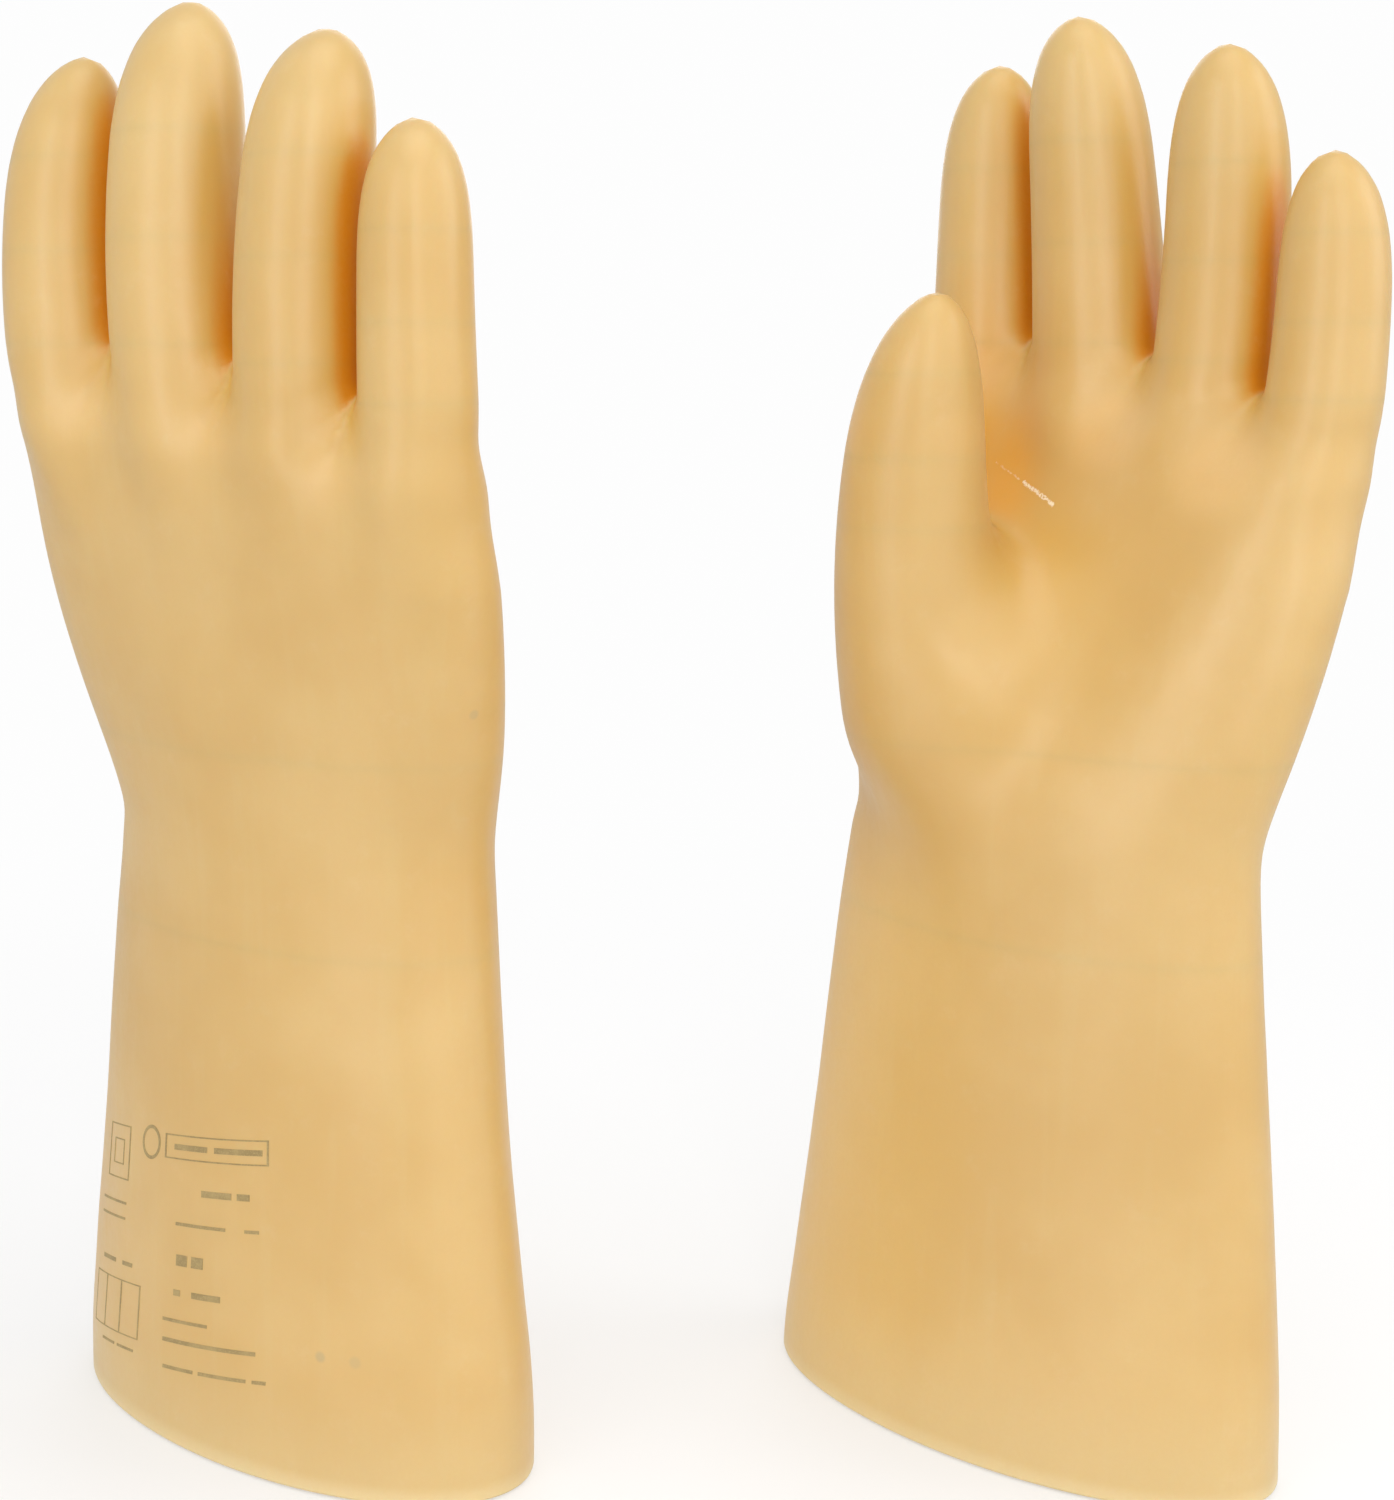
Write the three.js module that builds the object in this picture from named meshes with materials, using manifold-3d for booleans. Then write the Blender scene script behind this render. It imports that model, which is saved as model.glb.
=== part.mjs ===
// A pair of long electrical insulating gloves, standing on their cuff edges.
// Millimetres, +Z up. The left glove's palm faces -Y and the right glove's palm faces +Y,
// as its mirror image.
//
// Each glove is one dipped rubber skin of constant wall, open at the cuff. The skin is divided
// where it flexes: gauntlet, hand, and a base and a tip stall for every digit.
// A glove's own axes: x from the thumb side to the little finger side, y from the palm to the
// back of the hand, z from the cuff edge to the fingertips.

import * as THREE from 'three';
import { mergeVertices } from 'three/addons/utils/BufferGeometryUtils.js';
import Module from 'manifold-3d';

const wasm = await Module();
wasm.setup();

const { degToRad, smoothstep } = THREE.MathUtils;

// ---------------------------------------------------------------- driving dimensions
const WALL = 2.3; // thickness of the rubber skin
const GAP = 0.35; // clearance between neighbouring segments
const ORIGINS = { left: [67.46, 63.65], right: [-74.54, -63.65] }; // where each glove stands
const TRUNK_SIDES = 28; // facets round the gauntlet and hand
const DIGIT_SIDES = 14; // facets round a digit

// Gauntlet and hand: level, centre x, centre y, half width, half depth, turn in degrees,
// squareness (2 is an ellipse, more is squarer)
const TRUNK = [
  [0, 0.3, -0.6, 76.0, 36.8, -2.5, 2.0],
  [25, 1.2, -0.7, 74.9, 34.8, -3.3, 2.0],
  [50, 1.9, -0.4, 72.0, 32.9, -3.2, 2.0],
  [80, 2.9, -0.4, 68.3, 31.2, -3.0, 2.0],
  [135, 4.6, -1.4, 62.1, 29.4, -3.8, 2.0],
  [155, 6.0, -1.4, 59.6, 29.4, -4.1, 2.0],
  [170, 7.3, 0.0, 60.8, 28.4, -5.0, 2.06],
  [185, 8.7, 3.3, 64.2, 26.6, -6.2, 2.15],
  [205, 10.7, 8.8, 66.9, 23.6, -7.8, 2.3],
  [225, 12.8, 14.1, 67.6, 21.0, -9.0, 2.45],
  [245, 14.7, 19.0, 67.2, 19.0, -9.6, 2.6],
  [258, 15.4, 21.5, 67.2, 17.9, -9.8, 2.6],
  [266, 15.4, 22.5, 65.6, 15.6, -9.8, 2.4],
  [270.5, 15.4, 22.8, 63.0, 11.0, -9.8, 2.2],
  [273, 15.4, 22.9, 58.0, 5.5, -9.8, 2.0],
];
const TRUNK_TOP = TRUNK.at(-1)[0];
const CUFF_OVERRUN = 8; // how far the cavity runs out below the cuff edge
const CREST_FROM = 225; // above this level the hand's top edge slopes with the finger roots
const CREST = [[-52, 274], [-19, 277], [19, 272.5], [55, 263], [83, 259]]; // x, top edge height

// Shared by both gloves. middle: level the centre line is measured from; round: length of the
// rounded end; baseLine and middleLine: levels of the flex lines
const DIGIT_LEVELS = {
  index: { middle: 305, round: 24, baseLine: 279, middleLine: 312 },
  middle: { middle: 310, round: 26, baseLine: 279, middleLine: 316 },
  ring: { middle: 305, round: 25, baseLine: 275, middleLine: 310 },
  little: { middle: 290, round: 23, baseLine: 266.5, middleLine: 294 },
  thumb: { middle: 250, round: 26, baseLine: 235, middleLine: 262 },
};

// tip: height; radius: taken RADIUS_DROP below the tip; growth: of the radius per SPAN downwards;
// x and y: constant, linear and square terms of the centre line in (z - middle) / SPAN
const RADIUS_DROP = 45;
const SPAN = 40;
const THUMB = { tip: 291.2, radius: 17.8, growth: 3.8, x: [-17.3, 5.6, 3.2], y: [-29.2, -5.5, 1.2] };
const DIGITS = {
  left: {
    index: { tip: 349.3, radius: 15.4, growth: 1.8, x: [-36.1, 0.4, 2.5], y: [31.6, -1.2, -2.9] },
    middle: { tip: 358.3, radius: 16.0, growth: 1.7, x: [-1.4, -2.4, 0.8], y: [24.7, -3.0, -2.4] },
    ring: { tip: 348.3, radius: 15.0, growth: 1.2, x: [38.6, 1.6, 0.1], y: [19.7, -2.7, -2.8] },
    little: { tip: 322.8, radius: 13.3, growth: 1.1, x: [69.7, 0.5, -1.7], y: [13.9, 0.0, -1.8] },
    thumb: THUMB,
  },
  right: {
    index: { tip: 347.0, radius: 15.4, growth: 2.0, x: [-36.3, 0.1, 3.1], y: [31.3, -1.8, -2.8] },
    middle: { tip: 358.2, radius: 16.2, growth: 1.7, x: [-1.3, -2.5, 1.0], y: [24.6, -3.0, -2.7] },
    ring: { tip: 349.1, radius: 15.4, growth: 0.9, x: [39.0, 1.6, 0.3], y: [19.6, -2.6, -2.9] },
    little: { tip: 328.3, radius: 13.2, growth: 0.8, x: [69.6, 0.5, -1.1], y: [13.9, 0.1, -1.8] },
    thumb: THUMB,
  },
};
const RING_DROPS = [100, 75, 45, 25, 13, 6, 1.8, 0.05]; // levels of a digit's rings below its tip
const THUMB_FOOT = { x: -2, y: -5, z: 150, radius: 14 }; // lower end of the ball of the thumb
const FINGER_FOOT = 238; // level inside the hand where a finger's own form ends
const FOOT_FADE = 26; // height over which the finger's form shrinks into the hand
const FOOT_SCALE = 0.62; // share of the finger's radius left at its foot
const FOOT_CLEARANCE = 4; // least height from the foot to the next ring

// Boxes that cut the stalls out of the skin. turn: degrees about Z, along the knuckle line for
// a finger; margin: beyond the digit's radius; swing: extra room in the hand for the thumb's web
const FINGER_COLUMN = { turn: -9.8, margin: 2, swing: 0, depth: 70 };
const THUMB_COLUMN = { turn: 0, margin: 3.5, swing: 0.8 }; // square in plan
const COLUMN_HEIGHT = 140;
const STALL_CUBE = 200; // cube that cuts a stall at its middle line

// Wrist flex axis, and the round cut about it
const WRIST = { at: [6.1, -1.4, 158], turn: -4.2, radius: 33.6, length: 240, sides: 36 };
const WRIST_CUBE = 400; // cube that cuts the skin at the wrist

// ---------------------------------------------------------------- materials
const rubber = (color, roughness) =>
  new THREE.MeshStandardMaterial({ color, roughness, metalness: 0 });

const MATERIALS = {
  gauntlet: rubber(0xdeba7c, 0.48),
  hand: rubber(0xdfb878, 0.46),
  stall: rubber(0xe3bf88, 0.44),
};

// ---------------------------------------------------------------- solids and meshes
function weld(geometry, tolerance) {
  geometry.deleteAttribute('normal');
  geometry.deleteAttribute('uv');
  return mergeVertices(geometry, tolerance);
}

function solid(geometry) {
  const welded = weld(geometry, 1e-4);
  return new wasm.Manifold(
    new wasm.Mesh({
      numProp: 3,
      vertProperties: new Float32Array(welded.attributes.position.array),
      triVerts: new Uint32Array(welded.index.array),
    }),
  );
}

// A body of unit rings at rising levels, closed at both ends. place(z, reach, angle) gives each
// vertex its point; reach is 1 on a ring and 0 at the middle of an end.
function turned(levels, sides, place) {
  const profile = [
    new THREE.Vector2(0, levels[0]),
    ...levels.map((z) => new THREE.Vector2(1, z)),
    new THREE.Vector2(0, levels.at(-1)),
  ];
  const geometry = weld(new THREE.LatheGeometry(profile, sides), 1e-5);
  const position = geometry.attributes.position;
  for (let i = 0; i < position.count; i++) {
    // The lathe turns about Y, so its Y becomes z and its -Z becomes y
    const x = position.getX(i);
    const y = -position.getZ(i);
    position.setXYZ(i, ...place(position.getY(i), Math.hypot(x, y), Math.atan2(y, x)));
  }
  return solid(geometry);
}

function block([width, depth, height], [x, y, z], turn = 0) {
  const geometry = new THREE.BoxGeometry(width, depth, height);
  geometry.rotateZ(degToRad(turn));
  geometry.translate(x, y, z);
  return solid(geometry);
}

// Cubes standing on, or hanging from, a point
const cubeAbove = (size, [x, y, z]) => block([size, size, size], [x, y, z + size / 2]);
const cubeBelow = (size, [x, y, z]) => block([size, size, size], [x, y, z - size / 2]);

// A level rod along the wrist axis
function wristRod(radius) {
  const { at, turn, length, sides } = WRIST;
  const geometry = new THREE.CylinderGeometry(radius, radius, length, sides);
  geometry.rotateZ(Math.PI / 2);
  geometry.rotateZ(degToRad(turn));
  geometry.translate(...at);
  return solid(geometry);
}

// The largest body of a cut, so that no crumb is left beside it
function largest(body) {
  return body.decompose().reduce((a, b) => (b.volume() > a.volume() ? b : a));
}

function toMesh(body, name, material) {
  const { vertProperties, triVerts } = largest(body).getMesh();
  const geometry = new THREE.BufferGeometry();
  geometry.setAttribute(
    'position',
    new THREE.BufferAttribute(new Float32Array(vertProperties), 3),
  );
  geometry.setIndex(new THREE.BufferAttribute(new Uint32Array(triVerts), 1));
  geometry.computeVertexNormals();
  const mesh = new THREE.Mesh(geometry, material);
  mesh.name = name;
  return mesh;
}

// ---------------------------------------------------------------- gauntlet and hand form
// The row of a table at a key in its first column, interpolated and held at both ends
function between(table, key) {
  if (key <= table[0][0]) return table[0].slice(1);
  const next = table.findIndex((row) => key <= row[0]);
  if (next < 0) return table.at(-1).slice(1);
  const [low, high] = [table[next - 1], table[next]];
  const share = (key - low[0]) / (high[0] - low[0]);
  return low.slice(1).map((value, i) => value + share * (high[i + 1] - value));
}

// The inset is 0 for the outer form and the wall for the cavity
function trunkForm(inset) {
  const levels = TRUNK.map(([z]) => z);
  if (inset > 0) levels.unshift(-CUFF_OVERRUN);
  return turned(levels, TRUNK_SIDES, (z, reach, angle) => {
    const [centreX, centreY, halfWidth, halfDepth, turn, squareness] = between(TRUNK, z);
    const bulge = (value) => Math.sign(value) * Math.abs(value) ** (2 / squareness);
    const across = (halfWidth - inset) * reach * bulge(Math.cos(angle));
    const through = (halfDepth - inset) * reach * bulge(Math.sin(angle));
    const cos = Math.cos(degToRad(turn));
    const sin = Math.sin(degToRad(turn));
    const x = centreX + across * cos - through * sin;
    const y = centreY + across * sin + through * cos;
    const slope = smoothstep(z, CREST_FROM, TRUNK_TOP);
    return [x, y, z + slope * (between(CREST, x)[0] - TRUNK_TOP - inset)];
  });
}

// ---------------------------------------------------------------- digit forms
function centreAt(digit, z) {
  const t = (z - digit.middle) / SPAN;
  return [digit.x, digit.y].map(([constant, linear, square]) =>
    constant + linear * t + square * t * t);
}

function radiusAt(digit, z, inset = 0) {
  const drop = digit.tip - inset - z;
  const rounding = Math.min(drop / (digit.round - inset / 2), 1);
  const full = digit.radius - inset + (digit.growth * (drop - RADIUS_DROP)) / SPAN;
  return full * Math.sqrt(1 - (1 - rounding) ** 2);
}

function digitForm(digit, inset) {
  const isThumb = digit.name === 'thumb';
  const foot = isThumb ? THUMB_FOOT.z : FINGER_FOOT;
  const rings = RING_DROPS.map((drop) => digit.tip - inset - drop);
  const levels = [foot, ...rings.filter((z) => z > foot + FOOT_CLEARANCE)];
  return turned(levels, DIGIT_SIDES, (z, reach, angle) => {
    let [x, y] = centreAt(digit, z);
    let radius = radiusAt(digit, z, inset);
    if (!isThumb) {
      radius *= FOOT_SCALE + (1 - FOOT_SCALE) * smoothstep(z, foot, foot + FOOT_FADE);
    } else if (z === foot) {
      [x, y, radius] = [THUMB_FOOT.x, THUMB_FOOT.y, THUMB_FOOT.radius - inset];
    }
    return [x + radius * reach * Math.cos(angle), y + radius * reach * Math.sin(angle), z];
  });
}

// ---------------------------------------------------------------- glove
function form(digits, inset) {
  return digits.reduce((body, digit) => body.add(digitForm(digit, inset)), trunkForm(inset));
}

// A digit's base and tip stalls, and the room they need in the hand
function cutStalls(skin, digit) {
  const { tip, baseLine, middleLine } = digit;
  const { turn, margin, swing, depth } = digit.name === 'thumb' ? THUMB_COLUMN : FINGER_COLUMN;
  const [x, y] = centreAt(digit, (baseLine + tip) / 2);
  const reach = radiusAt(digit, baseLine) + margin;
  const column = (bottom, spare) => {
    const width = 2 * (reach + spare);
    const size = [width, depth ?? width, COLUMN_HEIGHT];
    return block(size, [x, y, bottom + COLUMN_HEIGHT / 2], turn);
  };
  const stall = skin.intersect(column(baseLine, 0));
  return {
    tip: stall.intersect(cubeAbove(STALL_CUBE, [x, y, middleLine])),
    base: stall.intersect(cubeBelow(STALL_CUBE, [x, y, middleLine - GAP])),
    room: column(baseLine - GAP - swing, swing),
  };
}

// The gauntlet ends in a round-cut collar, and the hand's lower edge turns round it
function cutWrist(skin, handSkin) {
  const over = cubeAbove(WRIST_CUBE, WRIST.at);
  const collar = skin.intersect(over).intersect(wristRod(WRIST.radius - GAP));
  return {
    gauntlet: skin.intersect(cubeBelow(WRIST_CUBE, WRIST.at)).add(collar),
    hand: handSkin.intersect(over).subtract(wristRod(WRIST.radius)),
  };
}

function glove(side) {
  const digits = Object.entries(DIGIT_LEVELS).map(([name, levels]) => (
    { name, ...levels, ...DIGITS[side][name] }));
  const skin = form(digits, 0).subtract(form(digits, WALL));

  let handSkin = skin;
  const stalls = [];
  for (const digit of digits) {
    const { tip, base, room } = cutStalls(skin, digit);
    handSkin = handSkin.subtract(room);
    stalls.push(toMesh(tip, `${side}_${digit.name}_tip`, MATERIALS.stall));
    stalls.push(toMesh(base, `${side}_${digit.name}_base`, MATERIALS.stall));
  }
  const { gauntlet, hand } = cutWrist(skin, handSkin);

  const group = new THREE.Group();
  group.add(
    toMesh(gauntlet, `${side}_gauntlet`, MATERIALS.gauntlet),
    toMesh(hand, `${side}_hand`, MATERIALS.hand),
    ...stalls,
  );
  group.position.set(...ORIGINS[side], 0);
  return group;
}

const left = glove('left');
const right = glove('right');
right.scale.y = -1; // mirrored

const group = new THREE.Group();
group.add(left, right);

export default group;
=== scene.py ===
import math

import bmesh
import bpy
import numpy as np
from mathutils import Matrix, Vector


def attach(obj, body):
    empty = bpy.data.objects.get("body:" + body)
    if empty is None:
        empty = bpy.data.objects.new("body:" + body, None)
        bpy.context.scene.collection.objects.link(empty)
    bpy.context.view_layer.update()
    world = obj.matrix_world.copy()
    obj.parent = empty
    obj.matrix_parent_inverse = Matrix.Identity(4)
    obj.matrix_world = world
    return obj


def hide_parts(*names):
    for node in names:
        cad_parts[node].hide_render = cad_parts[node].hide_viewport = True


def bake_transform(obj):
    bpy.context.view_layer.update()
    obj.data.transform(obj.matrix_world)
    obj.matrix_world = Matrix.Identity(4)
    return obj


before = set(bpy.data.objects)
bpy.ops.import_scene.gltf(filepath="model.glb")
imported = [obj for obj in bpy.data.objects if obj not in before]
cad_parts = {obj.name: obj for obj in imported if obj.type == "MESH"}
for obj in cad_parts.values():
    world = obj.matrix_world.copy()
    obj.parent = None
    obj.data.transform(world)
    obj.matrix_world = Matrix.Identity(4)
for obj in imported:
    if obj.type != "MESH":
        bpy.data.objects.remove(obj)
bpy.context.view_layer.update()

# ------------------------------------------------------------------ shape of a glove
# A glove's own axes, in millimetres: x from the thumb side to the little finger side,
# y from the palm to the back of the hand, z up from the cuff edge.
WALL = 2.3
VOXEL = 2.0
SHRINK = 2.2  # the digits start thinner, so that the narrow gaps between them stay open in the remesh
PLACE = {"left": (67.46, 63.65, 1.0), "right": (-74.54, -63.65, -1.0)}  # x, y, sign of y

# level, centre x, centre y, half width, half depth, turn in degrees, squareness
SECTIONS = np.array([
    [-14.0, 0.00, -0.50, 76.05, 38.00, -2.0, 2.0],
    [0.0, 0.16, -0.65, 76.03, 36.80, -2.5, 2.0],
    [4.0, 0.20, -0.70, 76.05, 36.47, -2.7, 2.0],
    [8.0, 0.29, -0.73, 76.02, 36.15, -2.88, 2.0],
    [14.0, 0.56, -0.65, 75.82, 35.67, -3.11, 2.0],
    [20.0, 0.90, -0.53, 75.30, 35.19, -3.26, 2.0],
    [30.0, 1.39, -0.56, 74.36, 34.41, -3.29, 2.0],
    [40.0, 1.57, -0.40, 73.27, 33.62, -3.25, 2.0],
    [50.0, 1.90, -0.27, 72.12, 32.90, -3.20, 2.0],
    [60.0, 2.27, -0.36, 70.86, 32.27, -3.13, 2.0],
    [70.0, 2.53, -0.32, 69.74, 31.69, -3.04, 2.0],
    [80.0, 2.84, -0.37, 68.41, 31.20, -3.00, 2.0],
    [90.0, 3.05, -0.49, 67.39, 30.79, -3.07, 2.0],
    [100.0, 3.26, -0.63, 66.28, 30.43, -3.23, 2.0],
    [110.0, 3.61, -0.81, 65.26, 30.10, -3.40, 2.0],
    [120.0, 3.90, -1.05, 64.04, 29.76, -3.56, 2.0],
    [130.0, 4.27, -1.22, 63.00, 29.48, -3.72, 2.0],
    [138.0, 4.72, -1.40, 61.95, 29.37, -3.84, 2.0],
    [144.0, 5.11, -1.56, 61.14, 29.32, -3.91, 2.0],
    [148.0, 5.31, -1.64, 60.60, 29.30, -3.97, 2.0],
    [152.0, 5.52, -1.61, 60.14, 29.30, -4.03, 2.0],
    [155.0, 5.85, -1.52, 59.75, 29.30, -4.10, 2.0],
    [158.0, 6.33, -1.40, 59.34, 29.30, -4.21, 2.004],
    [161.0, 6.78, -1.17, 59.14, 29.21, -4.37, 2.014],
    [165.0, 7.14, -0.72, 59.54, 28.89, -4.64, 2.034],
    [170.0, 7.42, 0.11, 60.81, 28.40, -5.00, 2.06],
    [176.0, 7.83, 1.28, 62.35, 27.76, -5.46, 2.092],
    [182.0, 8.34, 2.64, 63.75, 27.00, -5.95, 2.13],
    [190.0, 9.02, 4.66, 65.18, 25.89, -6.61, 2.185],
    [198.0, 9.87, 6.84, 66.22, 24.65, -7.27, 2.246],
    [206.0, 10.81, 9.08, 66.97, 23.46, -7.87, 2.307],
    [214.0, 11.72, 11.26, 67.45, 22.37, -8.41, 2.367],
    [222.0, 12.55, 13.25, 67.68, 21.35, -8.87, 2.427],
    [230.0, 13.35, 15.33, 67.60, 20.45, -9.19, 2.488],
    [238.0, 14.04, 17.40, 67.34, 19.64, -9.44, 2.549],
    [246.0, 14.62, 19.19, 67.11, 18.91, -9.62, 2.607],
    [254.0, 15.12, 20.67, 67.25, 18.27, -9.76, 2.664],
    [262.0, 15.24, 21.92, 67.69, 17.64, -9.80, 2.71],
    [270.0, 15.23, 22.78, 68.34, 16.97, -9.80, 2.743],
    [292.0, 15.20, 23.60, 68.60, 16.30, -9.80, 2.75],
])
# tip height, radius 45 mm below the tip, growth per 40 mm, centre x and y polynomials, middle level, length of the rounded end
DIGITS = {
    "left": {
        "index": (349.3, 15.36, 1.77, (-36.13, 0.39, 2.52), (31.64, -1.21, -2.93), 305, 22),
        "middle": (358.3, 15.98, 1.75, (-1.40, -2.44, 0.77), (24.66, -2.96, -2.39), 310, 22),
        "ring": (348.3, 14.95, 1.23, (38.59, 1.64, 0.08), (19.66, -2.74, -2.81), 305, 22.5),
        "little": (322.8, 13.32, 1.12, (69.70, 0.47, -1.75), (13.91, -0.01, -1.81), 290, 21),
        "thumb": (291.2, 17.80, 3.76, (-17.25, 5.65, 3.17), (-29.21, -5.55, 1.16), 250, 26),
    },
    "right": {
        "index": (347.0, 15.41, 1.96, (-36.34, 0.06, 3.15), (31.34, -1.77, -2.77), 305, 22.5),
        "middle": (358.2, 16.27, 1.72, (-1.25, -2.49, 1.00), (24.59, -2.95, -2.67), 310, 22.5),
        "ring": (349.1, 15.41, 0.91, (38.98, 1.63, 0.32), (19.61, -2.63, -2.90), 305, 21.5),
        "little": (328.3, 13.16, 0.82, (69.61, 0.52, -1.13), (13.89, 0.08, -1.85), 290, 19.5),
        "thumb": (291.2, 17.80, 3.76, (-17.25, 5.65, 3.17), (-29.21, -5.55, 1.16), 250, 26),
    },
}
THENAR = np.array([  # level, centre x, centre y, radius
    [132.0, 6.0, -2.0, 3.0],
    [150.0, -2.0, -5.0, 14.0],
    [158.0, -7.0, -7.5, 18.0],
    [167.0, -13.0, -11.0, 21.5],
    [176.0, -17.0, -14.6, 23.4],
    [185.0, -18.5, -17.0, 23.4],
])
KNUCKLE_TURN = math.radians(-9.8)
GAPS = (-23.8, 15.8, 50.8)  # places between the fingers along the knuckle line
CREST = np.array([[-60, 267], [-50, 272.5], [-38, 277], [-24, 278.3], [-4, 277.2], [15.5, 274.2], [33, 270.6], [50.5, 265.8], [64, 260.5], [80, 252]])
# base line and middle line of each digit, and the levels where its bends start and end
FLEX = {
    "index": (279.0, 312.0, 301.0, 323.0),
    "middle": (279.0, 316.0, 303.5, 328.0),
    "ring": (275.0, 310.0, 298.5, 321.0),
    "little": (266.5, 294.0, 284.0, 304.0),
    "thumb": (235.0, 262.0, 252.0, 272.0),
}
WRIST_BEND = (134.0, 182.0)

# rounded end of a digit: distance below the tip, squared share of the full radius
END = np.array([[-8, -0.40], [0, 0], [0.5, 0.028], [1.25, 0.064], [2, 0.108], [3.5, 0.195], [5, 0.283], [6.5, 0.366],
                [9, 0.49], [12, 0.616], [15, 0.712], [18, 0.79], [21, 0.855], [24, 0.905], [30, 0.967], [36, 0.995], [44, 1.0], [400, 1.0]])


def gauss(y, sigma):
    """y smoothed along its first axis, whose steps are one unit."""
    n = int(sigma * 4) + 1
    k = np.exp(-0.5 * (np.arange(-n, n + 1) / sigma) ** 2)
    k /= k.sum()
    pad = np.concatenate([2 * y[:1] - y[n:0:-1], y, 2 * y[-1:] - y[-2:-n - 2:-1]])
    return np.stack([np.convolve(pad[:, j], k, "valid") for j in range(y.shape[1])], 1)


LEVELS = np.arange(-14.0, 293.0, 1.0)
_raw = np.stack([np.interp(LEVELS, SECTIONS[:, 0], SECTIONS[:, j]) for j in range(1, 7)], 1)
_thin = np.clip((LEVELS - 234) / 36, 0, 1)  # the hand thins a little towards the crotches
_raw[:, 3] *= 1 - 0.06 * _thin * _thin * (3 - 2 * _thin)
_side = np.clip((LEVELS - 226) / 14, 0, 1)
_side = _side * _side * (3 - 2 * _side)
_top = np.clip((LEVELS - 250) / 12, 0, 1)
_raw[:, 2] -= 1.1 * _side + 0.5 * _top * _top * (3 - 2 * _top)
_raw[:, 0] -= 0.65 * _side
_w = np.exp(-(((LEVELS - 157) / 9) ** 2))[:, None]
TRUNK = gauss(_raw, 1.6) * _w + gauss(_raw, 5.0) * (1 - _w)
CREST_U = np.arange(-90.0, 111.0, 1.0)
CREST_Z = gauss(np.interp(CREST_U, CREST[:, 0], CREST[:, 1])[:, None], 5.0)[:, 0]
_e = np.arange(-8, 60, 0.25)
ENDS = gauss(np.interp(_e, END[:, 0], END[:, 1])[:, None], 4.0)[:, 0]


def smin(a, b, k):
    h = np.maximum(k - np.abs(a - b), 0) / k
    return np.minimum(a, b) - h * h * k * 0.25


def smax(a, b, k):
    return -smin(-a, -b, k)


def step(x, a, b):
    t = np.clip((x - a) / (b - a), 0, 1)
    return t * t * (3 - 2 * t)


def trunk_field(x, y, z):
    cx, cy, a, b, turn, n = [np.interp(z, LEVELS, TRUNK[:, j]) for j in range(6)]
    k = np.radians(turn)
    dx, dy = x - cx, y - cy
    u = (dx * np.cos(k) + dy * np.sin(k)) / a
    v = (-dx * np.sin(k) + dy * np.cos(k)) / b
    au, av = np.maximum(np.abs(u), 1e-4), np.maximum(np.abs(v), 1e-4)
    m = (au**n + av**n) ** (1 / n)
    g = m ** (1 - n) * np.hypot(au ** (n - 1) / a, av ** (n - 1) / b)
    return np.clip((m - 1) / np.maximum(g, 0.008), -60, 200)


def knuckle(x, y):
    return x * math.cos(KNUCKLE_TURN) + y * math.sin(KNUCKLE_TURN)


def digit_line(name, d, z):
    """Centre x, centre y and squared radius of a digit at each level."""
    t = (z - d[5]) / 40
    cx = d[3][0] + d[3][1] * t + d[3][2] * t * t
    cy = d[4][0] + d[4][1] * t + d[4][2] * t * t
    s = d[0] - z
    full = d[1] + d[2] * (np.clip(s, 0, 400) - 45) / 40
    r2 = full**2 * np.interp(s * 26 / d[6], _e, ENDS)
    if name == "thumb":
        w = step(z, 178, 196)
        lo = [np.interp(z, THENAR[:, 0], THENAR[:, j]) for j in (1, 2, 3)]
        cx, cy = lo[0] * (1 - w) + cx * w, lo[1] * (1 - w) + cy * w
        r2 = lo[2] ** 2 * (1 - w) + r2 * w - np.maximum(132 - z, 0) * 6
    return cx, cy, r2


def digit_tables(digits):
    out = {}
    for name, d in digits.items():
        zt = np.arange(90, 372, 0.5)
        cx, cy, r2 = digit_line(name, d, zt)
        tab = np.stack([cx, cy, r2], 1)
        if name == "thumb":
            w = step(zt, 200, 225)[:, None]
            tab = gauss(tab, 10.0) * (1 - w) + tab * w
        else:  # below its base line a finger thins, keeps to one column and ends inside the hand
            z0 = FLEX[name][0] - 3
            deep = 0.60 + 0.40 * step(zt, z0 - 46, z0 - 14)  # towards the palm and back
            wide = 0.60 + 0.40 * step(zt, z0 - 36, z0 + 5)  # towards the neighbours
            tab[:, 2] *= deep**2
            squeeze = (deep / wide) ** 2
            tab = np.column_stack([tab, squeeze])
            low = zt < z0 - 44
            tab[low, :2] = tab[~low][0, :2]
            tab[low, 2:] = tab[~low][0, 2:]
            tab[:, 2] -= 9 * np.maximum(z0 - 40 - zt, 0)
        out[name] = (zt, tab)
    return out


def digit_field(x, y, z, table):
    zt, tab = table
    cx, cy, r2 = [np.interp(z, zt, tab[:, j]) for j in range(3)]
    slope = np.gradient(tab[:, 2], zt)
    q = np.interp(z, zt, slope)
    dx, dy = x - cx, y - cy
    if tab.shape[1] == 3:
        rho2 = dx * dx + dy * dy
        g = np.sqrt(4 * rho2 + q * q + 1.0)
    else:
        k = np.interp(z, zt, tab[:, 3])
        c, s = math.cos(KNUCKLE_TURN), math.sin(KNUCKLE_TURN)
        u2, v2 = (dx * c + dy * s) ** 2, (dy * c - dx * s) ** 2
        rho2 = k * u2 + v2
        g = np.sqrt(4 * (k * k * u2 + v2) + q * q + 1.0)
    return np.clip((rho2 - r2) / g, -60, 200)


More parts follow.
